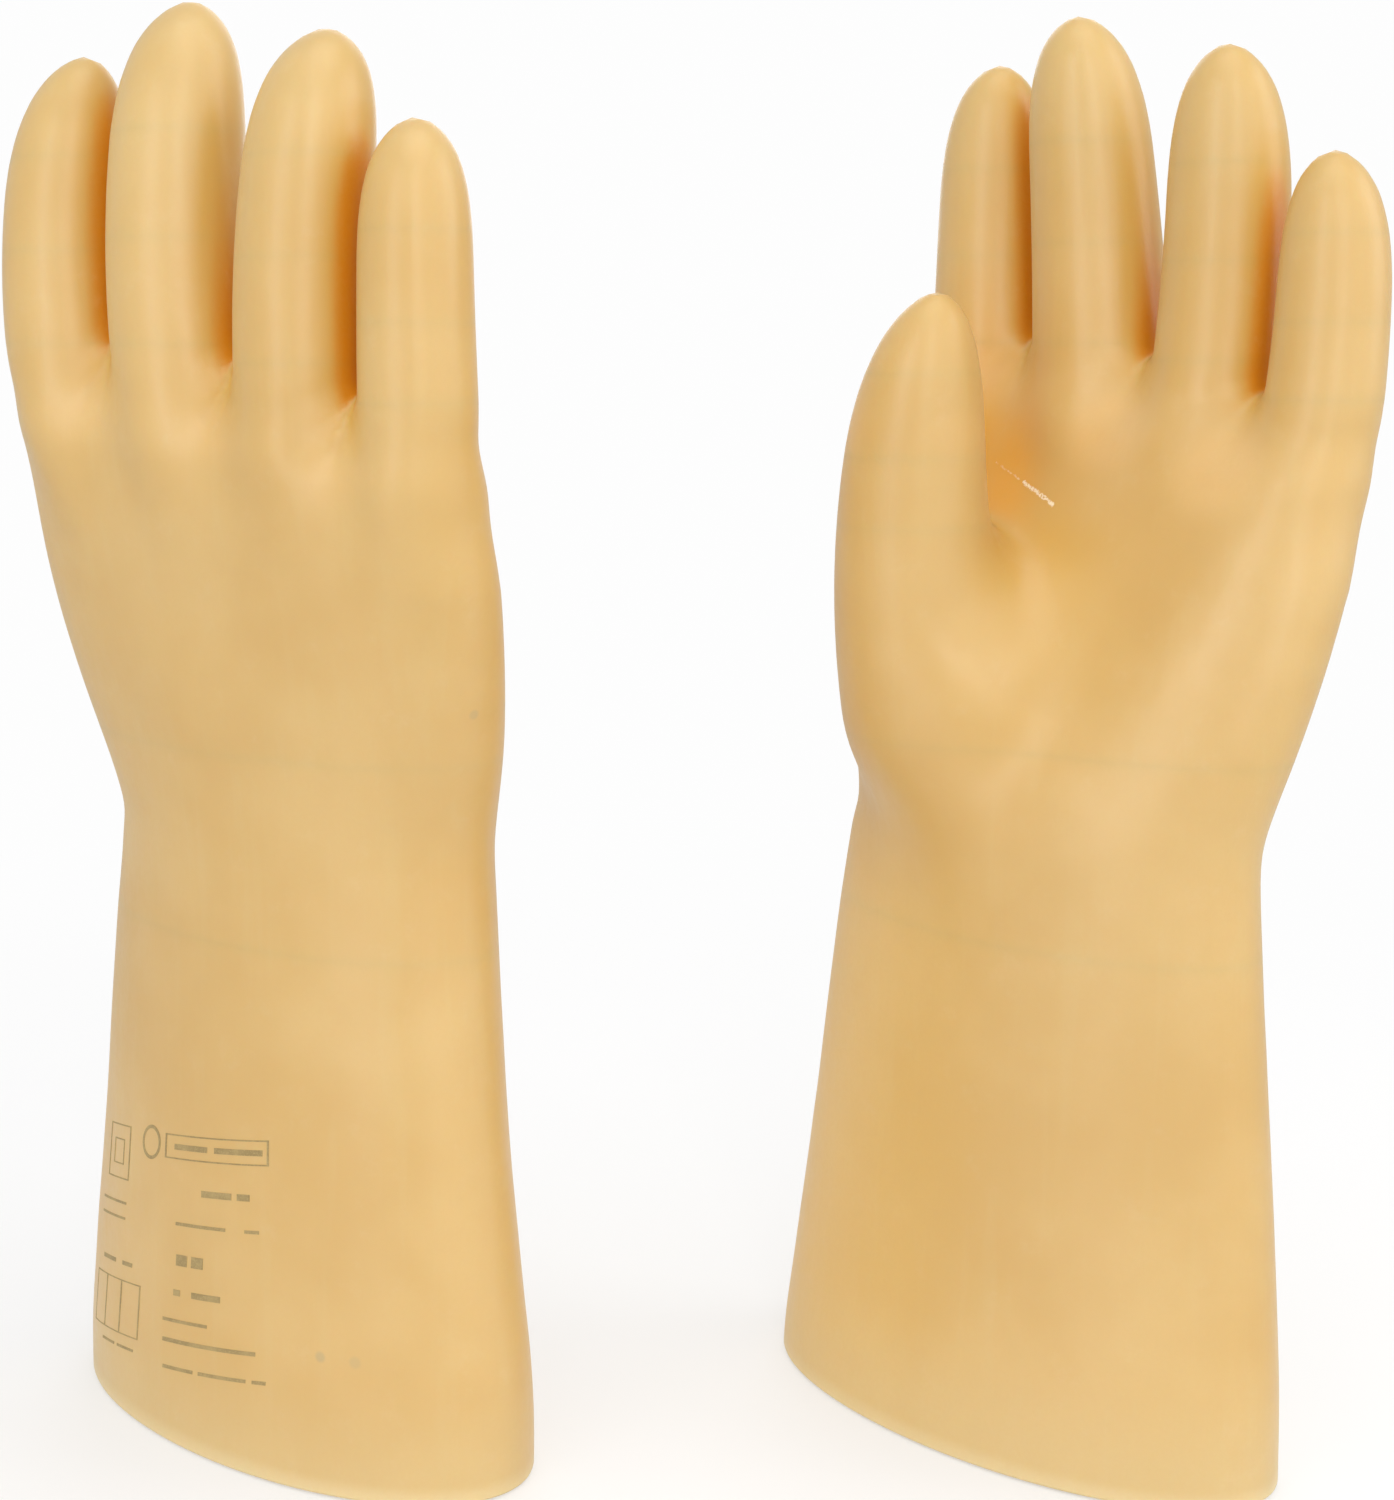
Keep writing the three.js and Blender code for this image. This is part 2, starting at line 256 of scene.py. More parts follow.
# soft forms of the palm: points (x, z) along each, half width, and height (below 0 is a hollow)
PALM = [
    ([(0, 248), (12, 222), (22, 190)], 17.0, -3.0),
    ([(-10, 246), (-7, 232)], 9.0, -1.8),
    ([(63, 250), (57, 226), (45, 200), (29, 176)], 11.0, 2.2),
]


def palm_forms(x, y, z):
    out = np.zeros_like(x)
    for line, half, height in PALM:
        d2 = np.full_like(x, 1e9)
        for (x0, z0), (x1, z1) in zip(line, line[1:]):
            vx, vz = x1 - x0, z1 - z0
            k = np.clip(((x - x0) * vx + (z - z0) * vz) / (vx * vx + vz * vz), 0, 1)
            d2 = smin(d2, (x - x0 - k * vx) ** 2 + (z - z0 - k * vz) ** 2, 40.0)
        out += height * np.exp(-np.maximum(d2, 0) / (2 * half * half))
    return out * step(-y, -16, 6)


def make_field(side):
    tables = digit_tables(DIGITS[side])

    def field(p):
        x, y, z = p[:, 0], p[:, 1], p[:, 2]
        u = knuckle(x, y)
        # each web between two fingers is an arch, highest halfway from the palm to the back
        v = (y - np.interp(z, LEVELS, TRUNK[:, 1])) * math.cos(KNUCKLE_TURN) - (x - np.interp(z, LEVELS, TRUNK[:, 0])) * math.sin(KNUCKLE_TURN)
        drop = np.where(v > 0, np.interp(u, GAPS, (14.0, 10.0, 10.0)), np.interp(u, GAPS, (9.0, 7.0, 10.0)))
        carve = np.where(v > 0, 3.4, 2.2)
        v = np.minimum(np.abs(v) / np.interp(z, LEVELS, TRUNK[:, 3]), 1.2)
        crest = np.interp(u, CREST_U, CREST_Z) - drop * v * v
        hand = trunk_field(x, y, z)
        hand = smax(hand, z - crest, 11.0)
        # valleys that run down from the crotches, so that the fingers start as soft ridges
        for gap in GAPS:
            down = float(np.interp(gap, CREST_U, CREST_Z)) - z
            below = np.maximum(down - 2, 0)
            hand = hand + carve * np.exp(-((u - gap) ** 2) / (70 + 8 * below) - (below / 16) ** 2) * step(down, -4, 8)
        hand = hand - palm_forms(x, y, z)
        thumb = digit_field(x, y, z, tables["thumb"])
        k = 18 + 7 * step(z, 170, 205) - 17 * step(z, 232, 264) + 13 * step(x, -26, 8) * step(z, 240, 198) * step(z, 150, 196)
        body = smin(hand, thumb, k)
        fingers = None
        for name in ("index", "middle", "ring", "little"):
            f = digit_field(x, y, z, tables[name])
            fingers = f if fingers is None else smin(fingers, f, 2.4)
        return smin(body, fingers, 7.5)

    def facing(p, n):
        """How close and how squarely a digit other than the point's own stands before it: fingers, then the thumb."""
        out = {"finger": np.zeros(len(p)), "thumb": np.zeros(len(p))}
        for name, far in (("index", 11), ("middle", 11), ("ring", 11), ("little", 11), ("thumb", 44)):
            t = digit_field(p[:, 0], p[:, 1], p[:, 2], tables[name])
            towards = -gradient(lambda q: digit_field(q[:, 0], q[:, 1], q[:, 2], tables[name]), p)
            square = np.clip((towards * n).sum(1), 0, 1)
            key = "thumb" if name == "thumb" else "finger"
            out[key] = np.maximum(out[key], square * np.clip(1 - np.maximum(t, 0) / far, 0, 1) * step(t, 0.3, 2.0))
        return out["finger"], out["thumb"] * (1 - 0.75 * step(p[:, 0], -16, 8))

    def cushion(p):
        """How much each point belongs to the soft cushion just under a crotch, 0 to 1."""
        u = knuckle(p[:, 0], p[:, 1])
        out = np.zeros(len(p))
        for gap in GAPS:
            below = float(np.interp(gap, CREST_U, CREST_Z)) - p[:, 2]
            out = np.maximum(out, np.exp(-((u - gap) ** 2) / (90 + 6 * np.maximum(below, 0)) - ((below - 16) / 11) ** 2))
        # softer on the back of the hand than on the palm
        return out * (1 - 0.5 * step(p[:, 1] - np.interp(p[:, 2], LEVELS, TRUNK[:, 1]), -6, 6))

    field.facing = facing
    field.cushion = cushion
    return field


def gradient(field, p, h=0.3):
    g = np.empty_like(p)
    for j in range(3):
        q = p.copy()
        q[:, j] += h
        a = field(q)
        q[:, j] -= 2 * h
        g[:, j] = (a - field(q)) / (2 * h)
    return g


def settle(field, p, rounds, cap=1.5):
    """Points moved onto the field's zero surface, and their outward normals."""
    for _ in range(rounds):
        g = gradient(field, p)
        n2 = np.maximum((g * g).sum(1), 0.05)
        move = -(field(p) / n2)[:, None] * g
        length = np.linalg.norm(move, axis=1)
        move *= np.minimum(1, cap / np.maximum(length, 1e-9))[:, None]
        p = p + move
    g = gradient(field, p)
    return p, g / np.maximum(np.linalg.norm(g, axis=1), 1e-9)[:, None]


def relax(field, p, edges, n, rounds):
    """Evens out the points over the surface."""
    count = np.bincount(edges.ravel(), minlength=len(p))
    for _ in range(rounds):
        mean = np.zeros_like(p)
        for j in range(3):
            mean[:, j] = np.bincount(edges[:, 0], p[edges[:, 1], j], len(p)) + np.bincount(edges[:, 1], p[edges[:, 0], j], len(p))
        mean /= np.maximum(count, 1)[:, None]
        d = mean - p
        d -= (d * n).sum(1)[:, None] * n
        p = p + 0.5 * d
        p, n = settle(field, p, 1)
    return p, n


# ------------------------------------------------------------------ meshes
def loft(levels, sides, ring):
    t = np.linspace(0, 2 * math.pi, sides, endpoint=False)
    co, faces = [], []
    for z in levels:
        co.append(ring(z, t))
    co = np.concatenate(co)
    for i in range(len(levels) - 1):
        for j in range(sides):
            a, b = i * sides + j, i * sides + (j + 1) % sides
            faces.append((a, b, b + sides, a + sides))
    faces.append(tuple(range(sides))[::-1])
    top = (len(levels) - 1) * sides
    faces.append(tuple(top + j for j in range(sides)))
    return co, faces


def rough_mesh(side):
    """Overlapping lofts of the gauntlet and the digits, joined by a voxel remesh."""
    co, faces = [], []

    def add(part):
        base = sum(len(c) for c in co)
        co.append(part[0])
        faces.extend(tuple(base + i for i in f) for f in part[1])

    def ring(z, t):
        cx, cy, a, b, turn, n = [np.interp(z, LEVELS, TRUNK[:, j]) for j in range(6)]
        c, s, k = np.cos(t), np.sin(t), math.radians(turn)
        f = 1 - 0.35 * float(step(z, 262, 274))
        x = a * f * np.sign(c) * np.abs(c) ** (2 / n)
        y = b * f * np.sign(s) * np.abs(s) ** (2 / n)
        x, y = cx + x * math.cos(k) - y * math.sin(k), cy + x * math.sin(k) + y * math.cos(k)
        top = np.interp(knuckle(x, y), CREST_U, CREST_Z) - 3.0
        return np.stack([x, y, np.minimum(z, top - 0.02 * (272 - z))], 1)

    add(loft(list(np.arange(-8, 264, 4.0)) + [268, 272], 96, ring))
    for name, table in digit_tables(DIGITS[side]).items():
        zt, tab = table
        low = 140.0 if name == "thumb" else 240.0
        tip = DIGITS[side][name][0]

        def ring(z, t, zt=zt, tab=tab):
            cx, cy, r2 = [np.interp(z, zt, tab[:, j]) for j in range(3)]
            r = max(math.sqrt(max(float(r2), 0.0)) - SHRINK, 0.25)
            return np.stack([cx + r * np.cos(t), cy + r * np.sin(t), np.full_like(t, z)], 1)

        levels = [z for z in np.arange(low, tip - 12, 4.0)] + [tip - s for s in (11, 8, 5.5, 3.5)]
        add(loft(levels, 40, ring))
    mesh = bpy.data.meshes.new("rough")
    mesh.from_pydata(np.concatenate(co).tolist(), [], faces)
    obj = bpy.data.objects.new("rough", mesh)
    bpy.context.scene.collection.objects.link(obj)
    mod = obj.modifiers.new("join", "REMESH")
    mod.mode = "VOXEL"
    mod.voxel_size = VOXEL
    mod.adaptivity = 0
    mesh2 = bpy.data.meshes.new_from_object(obj.evaluated_get(bpy.context.evaluated_depsgraph_get()))
    bpy.data.objects.remove(obj)
    bpy.data.meshes.remove(mesh)
    return mesh2


def arrays(mesh):
    p = np.empty(len(mesh.vertices) * 3)
    mesh.vertices.foreach_get("co", p)
    e = np.empty(len(mesh.edges) * 2, np.int64)
    mesh.edges.foreach_get("vertices", e)
    return p.reshape(-1, 3), e.reshape(-1, 2)


FINGERS = ("index", "middle", "ring", "little")


def nearest_finger(co, tables):
    return np.stack([digit_field(co[:, 0], co[:, 1], co[:, 2], tables[name]) for name in FINGERS]).argmin(0)


def digit_of(co, tables):
    """Which digit each point belongs to, by name, or '' below the digits' base lines."""
    x, y, z = co[:, 0], co[:, 1], co[:, 2]
    out = np.full(len(co), "", dtype="<U8")
    which = np.array(FINGERS)[nearest_finger(co, tables)]
    for name in FINGERS:
        out[(which == name) & (z > FLEX[name][0]) & (y > -4)] = name
    zt, tab = tables["thumb"]
    d = np.hypot(x - np.interp(z, zt, tab[:, 0]), y - np.interp(z, zt, tab[:, 1]))
    out[(z > FLEX["thumb"][0]) & (y <= -4) & (d < 27)] = "thumb"
    return out


def join_islands(faces, piece):
    """Faces cut off from the rest of their piece go to the piece around them."""
    sides = {}
    for i, f in enumerate(faces):
        for a, b in zip(f, f[1:] + f[:1]):
            sides.setdefault((min(a, b), max(a, b)), []).append(i)
    near = [[] for _ in faces]
    for pair in sides.values():
        for i in pair:
            near[i] += [j for j in pair if j != i]
    seen = np.zeros(len(faces), bool)
    islands = {}
    for i in range(len(faces)):
        if seen[i]:
            continue
        seen[i] = True
        group, todo = [], [i]
        while todo:
            k = todo.pop()
            group.append(k)
            for j in near[k]:
                if not seen[j] and piece[j] == piece[k]:
                    seen[j] = True
                    todo.append(j)
        islands.setdefault(str(piece[i]), []).append(group)
    for name, groups in islands.items():
        for group in sorted(groups, key=len)[:-1]:
            around = [str(piece[j]) for k in group for j in near[k] if piece[j] != name]
            if around:
                piece[group] = max(sorted(set(around)), key=around.count)
    return piece


def glove_surface(side):
    """The outer skin as points, normals, faces, and the name of the piece each face belongs to."""
    field = make_field(side)
    tables = digit_tables(DIGITS[side])
    mesh = rough_mesh(side)
    p, e = arrays(mesh)
    p, n = settle(field, p, 10)
    p, n = relax(field, p, e, n, 8)
    p, n = settle(field, p, 2)
    mesh.vertices.foreach_set("co", p.ravel())
    bm = bmesh.new()
    bm.from_mesh(mesh)
    bpy.data.meshes.remove(mesh)

    def cut(z, name=None, clear=False):
        if name is None:
            faces = [f for f in bm.faces if abs(f.calc_center_median().z - z) < 12]
        else:
            faces = [f for f in bm.faces if abs(f.calc_center_median().z - z) < 8]
            c = np.array([f.calc_center_median() for f in faces])
            x, y = c[:, 0], c[:, 1]
            if name == "thumb":
                zt, tab = tables["thumb"]
                d = np.hypot(x - np.interp(z, zt, tab[:, 0]), y - np.interp(z, zt, tab[:, 1]))
                keep = (d < 26) & (y < -4)
            else:
                keep = (nearest_finger(c, tables) == FINGERS.index(name)) & (y > -4)
            faces = [f for f, k in zip(faces, keep) if k]
        if clear:
            faces = list(bm.faces)
        edges = {e for f in faces for e in f.edges}
        verts = {v for f in faces for v in f.verts}
        for v in verts:  # a point close to the cut is moved onto it, so that no sliver is left
            if abs(v.co.z - z) < 0.3 * VOXEL:
                v.co.z = z
        bmesh.ops.bisect_plane(bm, geom=list(verts) + list(edges) + faces, dist=0.02, plane_co=(0, 0, z), plane_no=(0, 0, 1), clear_inner=clear)

    cut(0.8, clear=True)
    for z in WRIST_BEND:
        cut(z)
    for name, (base, _mid, a, b) in FLEX.items():
        for z in (base, a, b):
            cut(z, name)
    bm.verts.ensure_lookup_table()
    bm.verts.index_update()
    p = np.array([v.co for v in bm.verts])
    faces = [[v.index for v in f.verts] for f in bm.faces]
    bm.free()
    # points on a cut stay in its plane while they settle
    levels = {0.8, *WRIST_BEND} | {z for v in FLEX.values() for z in (v[0], v[2], v[3])}
    pinned = np.zeros(len(p), bool)
    for z in levels:
        pinned |= np.abs(p[:, 2] - z) < 1e-4
    for _ in range(3):
        g = gradient(field, p)
        g[pinned, 2] = 0
        n2 = np.maximum((g * g).sum(1), 0.05)
        move = -(field(p) / n2)[:, None] * g
        length = np.linalg.norm(move, axis=1)
        p = p + move * np.minimum(1, 0.8 / np.maximum(length, 1e-9))[:, None]
    g = gradient(field, p)
    n = g / np.maximum(np.linalg.norm(g, axis=1), 1e-9)[:, None]
    centre = np.array([p[f].mean(0) for f in faces])
    digit = digit_of(centre, tables)
    piece = np.full(len(faces), "hand", dtype="<U14")
    piece[centre[:, 2] < WRIST_BEND[1]] = "wrist"
    piece[centre[:, 2] < WRIST_BEND[0]] = "gauntlet"
    for name, (base, _mid, a, b) in FLEX.items():
        on = digit == name
        piece[on] = name + "_tip"
        piece[on & (centre[:, 2] < b)] = name + "_middle"
        piece[on & (centre[:, 2] < a)] = name + "_root"
    return p, n, faces, join_islands(faces, piece), pinned, field


def to_row(side, co):
    ox, oy, s = PLACE[side]
    return np.stack([co[:, 0] + ox, co[:, 1] * s + oy, co[:, 2]], 1) * 0.001


def build_piece(side, name, p, n, faces, pinned):
    """One closed piece of skin: outer surface, inner surface, and the edges between them."""
    inner = p - WALL * n
    inner[pinned, 2] = p[pinned, 2]
    used = np.unique(np.concatenate([np.array(f) for f in faces]))
    index = np.full(len(p), -1)
    index[used] = np.arange(len(used))
    m = len(used)
    co = [p[used], inner[used]]
    out, normals = [], []
    seen = {}
    for f in faces:
        g = [int(index[i]) for i in f]
        out.append(g)
        normals.extend(n[i] for i in f)
        for a, b in zip(g, g[1:] + g[:1]):
            seen[(a, b)] = True
    for f in faces:
        out.append([int(index[i]) + m for i in f][::-1])
        normals.extend(-n[i] for i in f[::-1])
    border = [(a, b) for a, b in seen if (b, a) not in seen]
    extra, ring_index = [], {}
    total = 2 * m
    nu = n[used]
    for a, b in border:
        za, zb = co[0][a, 2], co[0][b, 2]
        if name == "gauntlet" and abs(za - 0.8) < 1e-3 and abs(zb - 0.8) < 1e-3:
            for v in (a, b):
                if v not in ring_index:
                    o, i = co[0][v], co[1][v]
                    w = (i - o) / np.linalg.norm(i - o)
                    ring = [o + w * 0.18, o + w * 0.62, i - w * 0.62, i - w * 0.18]
                    for q, z in zip(ring, (0.26, 0.0, 0.0, 0.26)):
                        extra.append([q[0], q[1], z])
                    ring_index[v] = total
                    total += 4
            ra = [a] + [ring_index[a] + j for j in range(4)] + [a + m]
            rb = [b] + [ring_index[b] + j for j in range(4)] + [b + m]
            down = np.array([0, 0, -1.0])

            def rim(v):
                side_n = nu[v] * [1, 1, 0]
                return [nu[v], side_n * 0.75 + down * 0.66, down, down, -side_n * 0.75 + down * 0.66, -nu[v]]

            na, nb = rim(a), rim(b)
            for j in range(5):
                out.append([rb[j], ra[j], ra[j + 1], rb[j + 1]])
                normals.extend([nb[j], na[j], na[j + 1], nb[j + 1]])
        else:
            out.append([b, a, a + m, b + m])
            quad = np.array([co[0][b], co[0][a], co[1][a]])
            flat = np.cross(quad[1] - quad[0], quad[2] - quad[0])
            flat = flat / max(np.linalg.norm(flat), 1e-12)
            normals.extend([flat] * 4)
    local = np.concatenate(co + ([np.array(extra)] if extra else []))
    normals = np.array(normals)
    world = to_row(side, local)
    if side == "right":  # a mirrored glove: the faces turn round and the normals' y changes sign
        fixed, k = [], 0
        nn = np.empty_like(normals)
        for f in out:
            c = len(f)
            fixed.append(f[::-1])
            nn[k:k + c] = normals[k:k + c][::-1]
            k += c
        out, normals = fixed, nn * [1, -1, 1]
    mesh = bpy.data.meshes.new(side + "_" + name + "_skin")
    mesh.from_pydata(world.tolist(), [], out)
    mesh.polygons.foreach_set("use_smooth", np.ones(len(out), bool))
    mesh.update()
    mesh.normals_split_custom_set((normals / np.maximum(np.linalg.norm(normals, axis=1), 1e-9)[:, None]).tolist())
    rest = mesh.attributes.new("rest_mm", "FLOAT_VECTOR", "POINT")
    rest.data.foreach_set("vector", local.astype(np.float32).ravel())
    inside = mesh.attributes.new("inside", "FLOAT", "POINT")
    flag = np.zeros(len(local), np.float32)
    flag[m:2 * m] = 1
    inside.data.foreach_set("value", flag)
    obj = bpy.data.objects.new(side + "_" + name + "_skin", mesh)
    bpy.context.scene.collection.objects.link(obj)
    return obj


# ------------------------------------------------------------------ materials
def srgb(r, g, b):
    return tuple((c / 12.92 if c <= 0.04045 else ((c + 0.055) / 1.055) ** 2.4) for c in (r / 255, g / 255, b / 255)) + (1.0,)


class Tree:
    """A material's node tree, with short ways to add nodes."""

    def __init__(self, name):
        self.material = bpy.data.materials.new(name)
        self.material.use_nodes = True
        self.t = self.material.node_tree
        self.t.nodes.clear()

    def add(self, kind, props=None, **inputs):
        node = self.t.nodes.new("ShaderNode" + kind)
        for k, v in (props or {}).items():
            setattr(node, k, v)
        for k, v in inputs.items():
            self.put(node, k.replace("_", " "), v)
        return node

    def put(self, node, key, value):
        socket = node.inputs[key] if isinstance(key, str) else node.inputs[key]
        if hasattr(value, "links"):
            self.t.links.new(value, socket)
        else:
            socket.default_value = value

    def math(self, op, a, b=0.0, c=0.0, clamp=False):
        n = self.add("Math", {"operation": op, "use_clamp": clamp})
        for i, v in enumerate((a, b, c)):
            self.put(n, i, v)
        return n.outputs[0]

    def ramp(self, v, lo, hi, a=0.0, b=1.0, smooth=True):
        n = self.add("MapRange", {"interpolation_type": "SMOOTHSTEP" if smooth else "LINEAR"}, Value=v)
        for k, x in (("From Min", lo), ("From Max", hi), ("To Min", a), ("To Max", b)):
            n.inputs[k].default_value = x
        return n.outputs[0]

    def mix(self, f, a, b, mode="MIX"):
        n = self.add("Mix", {"data_type": "RGBA", "blend_type": mode})
        self.put(n, 0, f)
        self.put(n, 6, a)
        self.put(n, 7, b)
        return n.outputs[2]

    def noise(self, vector, scale, detail=2.0, rough=0.5):
        n = self.add("TexNoise", Vector=vector, Scale=scale, Detail=detail, Roughness=rough)
        return n.outputs["Fac"]

    def scaled(self, vector, x, y, z):
        n = self.add("Mapping", Vector=vector)
        n.inputs["Scale"].default_value = (x, y, z)
        return n.outputs[0]

    def moved(self, vector, x, y, z):
        n = self.add("Mapping", Vector=vector)
        n.inputs["Location"].default_value = (x, y, z)
        return n.outputs[0]

    def attribute(self, name, out="Fac"):
        return self.add("Attribute", {"attribute_name": name}).outputs[out]


# pale scratches and faint grey spots: side, start and end on the skin in the glove's own millimetres, half width, strength
SCRATCHES = {
    "left": [
        ((-18.8, 9.8, 248.7), (-7.5, 6.4, 244.1), 0.28, 0.45),
        ((-7.9, 6.5, 244.3), (3.1, 2.9, 239.5), 0.62, 0.80),
        ((14.5, -15.0, 201.9), (24.5, -16.1, 201.6), 0.22, 0.5),
    ],
    "right": [((48.0, 25.0, 88.0), (55.0, 22.6, 96.0), 0.2, 0.35)],
}
SPOTS = {
    "left": [((31.0, -27.5, 70.0), 0.8, 0.25), ((-20.0, -31.0, 104.0), 0.6, 0.2)],
    "right": [((40.9, 26.5, 35.2), 1.5, 0.5), ((49.8, 23.0, 35.2), 1.7, 0.3), ((74.7, 3.2, 195.1), 1.3, 0.4)],
}


def latex(side):
    """Dipped natural rubber: satin, slightly see-through, with painted shade, a deeper warmer orange, where the skin is
    hollow.
    """
    t = Tree("latex_" + side)
    rest = t.attribute("rest_mm", "Vector")
    seed = {"left": (0, 0, 0), "right": (310, 170, 90)}[side]
    p = t.moved(rest, *seed)
    sep = t.add("SeparateXYZ", Vector=rest)
    x, y, z = sep.outputs
    hollow = t.attribute("hollow")
    swell = t.attribute("swell")
    lee = t.attribute("lee")
    web = t.attribute("web")
    inside = t.attribute("inside")

    cloud = t.noise(p, 0.016, 3, 0.55)
    patch = t.noise(t.moved(p, 40, 9, 5), 0.055, 3, 0.6)
    fleck = t.noise(p, 0.9, 2, 0.6)
    runs = t.noise(t.scaled(p, 0.16, 0.16, 0.012), 1.0, 3, 0.55)

    deep, mid, light = srgb(201, 160, 93), srgb(208, 170, 104), srgb(214, 179, 116)
    base = t.mix(t.ramp(cloud, 0.35, 0.66), mid, light)
    base = t.mix(t.math("MULTIPLY", t.ramp(patch, 0.5, 0.75), 0.14), base, deep)
    base = t.mix(t.math("MULTIPLY", t.ramp(runs, 0.52, 0.72), 0.10), base, srgb(214, 193, 138))
    if side == "left":
        # painted light: the thumb side of this cuff is lifted paler, where the other glove shades it
        painted_fill = t.math("MULTIPLY", t.ramp(x, 25, -60), t.ramp(z, 180, 120))
        base = t.mix(t.math("MULTIPLY", painted_fill, 0.5), base, srgb(238, 202, 124))
    # the dipped film gathers towards the tips and the cuff edge, where it's a little paler
    base = t.mix(t.math("MULTIPLY", t.ramp(z, 285, 352), 0.30), base, srgb(213, 191, 135))
    base = t.mix(t.math("MULTIPLY", t.ramp(z, 34, 0), 0.40), base, srgb(214, 192, 140))
    base = t.mix(t.math("MULTIPLY", t.ramp(z, 5.5, 0.8), 0.45), base, srgb(232, 214, 166))
    # painted shade: a deeper, more saturated orange in the crotches and in the hollow of the palm behind the thumb,
    # standing in for the warm light bounced between the digits
    base = t.mix(t.ramp(hollow, 0.03, 0.36, 0, 0.70), base, srgb(205, 160, 68))
    base = t.mix(t.ramp(lee, 0.10, 0.42, 0, 0.88), base, srgb(224, 159, 36))
    # painted light: a paler tone on the cushions at the foot of the crotches, lifting the shade that falls in the
    # valleys there
    base = t.mix(t.math("MULTIPLY", t.ramp(web, 0.12, 0.9, 0, 0.42), t.ramp(lee, 0.30, 0.06)), base, srgb(232, 191, 128))
    # painted shade: the deepest orange at the bottom of the crotches
    base = t.mix(t.ramp(hollow, 0.40, 0.82, 0, 0.98), base, srgb(204, 132, 12))
    base = t.mix(t.ramp(swell, 0.25, 0.8, 0, 0.22), base, srgb(214, 192, 138))
    # bloom: a faint whitish dust that stays on the rubber
    dust = t.math("MULTIPLY", t.ramp(t.noise(t.moved(p, 7, 70, 31), 0.11, 5, 0.68), 0.55, 0.78), 0.08)
    dust = t.math("ADD", dust, t.math("MULTIPLY", inside, 0.22), clamp=True)
    base = t.mix(dust, base, srgb(226, 210, 172))
    base = t.mix(t.math("MULTIPLY", t.ramp(fleck, 0.35, 0.7), 0.07), base, srgb(206, 164, 98))

    worn = None
    flat = t.scaled(rest, 1, 0.15, 1)
    for (a, b, half, power) in SCRATCHES[side]:
        d = segment(t, flat, (a[0], a[1] * 0.15, a[2]), (b[0], b[1] * 0.15, b[2]))
        wob = t.math("MULTIPLY", t.noise(p, 0.6, 2, 0.6), 1.6)
        m = t.math("MULTIPLY", t.ramp(t.math("ADD", d, wob), half + 0.8, half + 0.45), power)
        m = t.math("MULTIPLY", m, t.ramp(t.noise(p, 1.7, 2, 0.7), 0.36, 0.52))
        worn = m if worn is None else t.math("MAXIMUM", worn, m)
    if worn is not None:
        base = t.mix(worn, base, srgb(252, 238, 212))
    for (a, half, power) in SPOTS[side]:
        d = t.add("VectorMath", {"operation": "DISTANCE"})
        t.put(d, 0, rest)
        t.put(d, 1, a)
        m = t.math("MULTIPLY", t.ramp(d.outputs["Value"], half * 1.25, half * 0.5), power)
        base = t.mix(m, base, srgb(176, 158, 118))

    rough = t.ramp(t.noise(p, 0.035, 4, 0.6), 0.3, 0.7, 0.33, 0.39)
    rough = t.math("ADD", rough, t.math("MULTIPLY", dust, 0.5))
    rough = t.math("ADD", rough, t.ramp(t.noise(t.moved(p, 3, 3, 60), 0.5, 2, 0.5), 0.3, 0.7, -0.02, 0.03))
    if worn is not None:
        rough = t.math("ADD", rough, t.math("MULTIPLY", worn, 0.2))

    grain = t.noise(p, 2.2, 2, 0.55)
    swell_h = t.noise(t.scaled(p, 0.05, 0.05, 0.022), 1.0, 2, 0.5)
    height = t.math("ADD", t.math("MULTIPLY", grain, 0.012), t.math("MULTIPLY", swell_h, 0.45))
    height = t.math("ADD", height, t.math("MULTIPLY", runs, 0.08))
    if worn is not None:
        height = t.math("SUBTRACT", height, t.math("MULTIPLY", worn, 0.03))
    bump = t.add("Bump", Height=height)
    bump.inputs["Strength"].default_value = 1.0
    bump.inputs["Distance"].default_value = 0.001

    shader = t.add("BsdfPrincipled", Base_Color=base, Roughness=rough, Normal=bump.outputs[0])
    shader.inputs["IOR"].default_value = 1.5
    shader.inputs["Specular IOR Level"].default_value = 0.6
    shader.inputs["Subsurface Weight"].default_value = 0.22
    shader.inputs["Subsurface Radius"].default_value = (1.0, 0.5, 0.18)
    shader.inputs["Subsurface Scale"].default_value = 0.004
    shader.inputs["Sheen Weight"].default_value = 0.12
    shader.inputs["Sheen Roughness"].default_value = 0.4
    shader.inputs["Sheen Tint"].default_value = srgb(255, 240, 214)
    # painted glow: a faint orange emission in the crotches and behind the thumb, for light that comes through the thin
    # skin
    shader.inputs["Emission Color"].default_value = srgb(220, 130, 26)
    t.put(shader, "Emission Strength", t.math("ADD", t.ramp(hollow, 0.18, 0.85, 0, 0.06), t.ramp(lee, 0.2, 0.7, 0, 0.03)))
    out = t.add("OutputMaterial")
    t.t.links.new(shader.outputs[0], out.inputs[0])
    return t.material


def segment(t, p, a, b):
    """Distance from p to the line between two points, as nodes."""
    a, b = Vector(a), Vector(b)
    ab = b - a
    rel = t.add("VectorMath", {"operation": "SUBTRACT"})
    t.put(rel, 0, p)
    t.put(rel, 1, a)
    dot = t.add("VectorMath", {"operation": "DOT_PRODUCT"})
    t.put(dot, 0, rel.outputs[0])
    t.put(dot, 1, ab / ab.length_squared)
    k = t.math("MINIMUM", t.math("MAXIMUM", dot.outputs["Value"], 0.0), 1.0)
    near = t.add("VectorMath", {"operation": "SCALE"})
    t.put(near, 0, ab)
    t.put(near, "Scale", k)
    d = t.add("VectorMath", {"operation": "DISTANCE"})
    t.put(d, 0, rel.outputs[0])
    t.put(d, 1, near.outputs[0])
    return d.outputs["Value"]


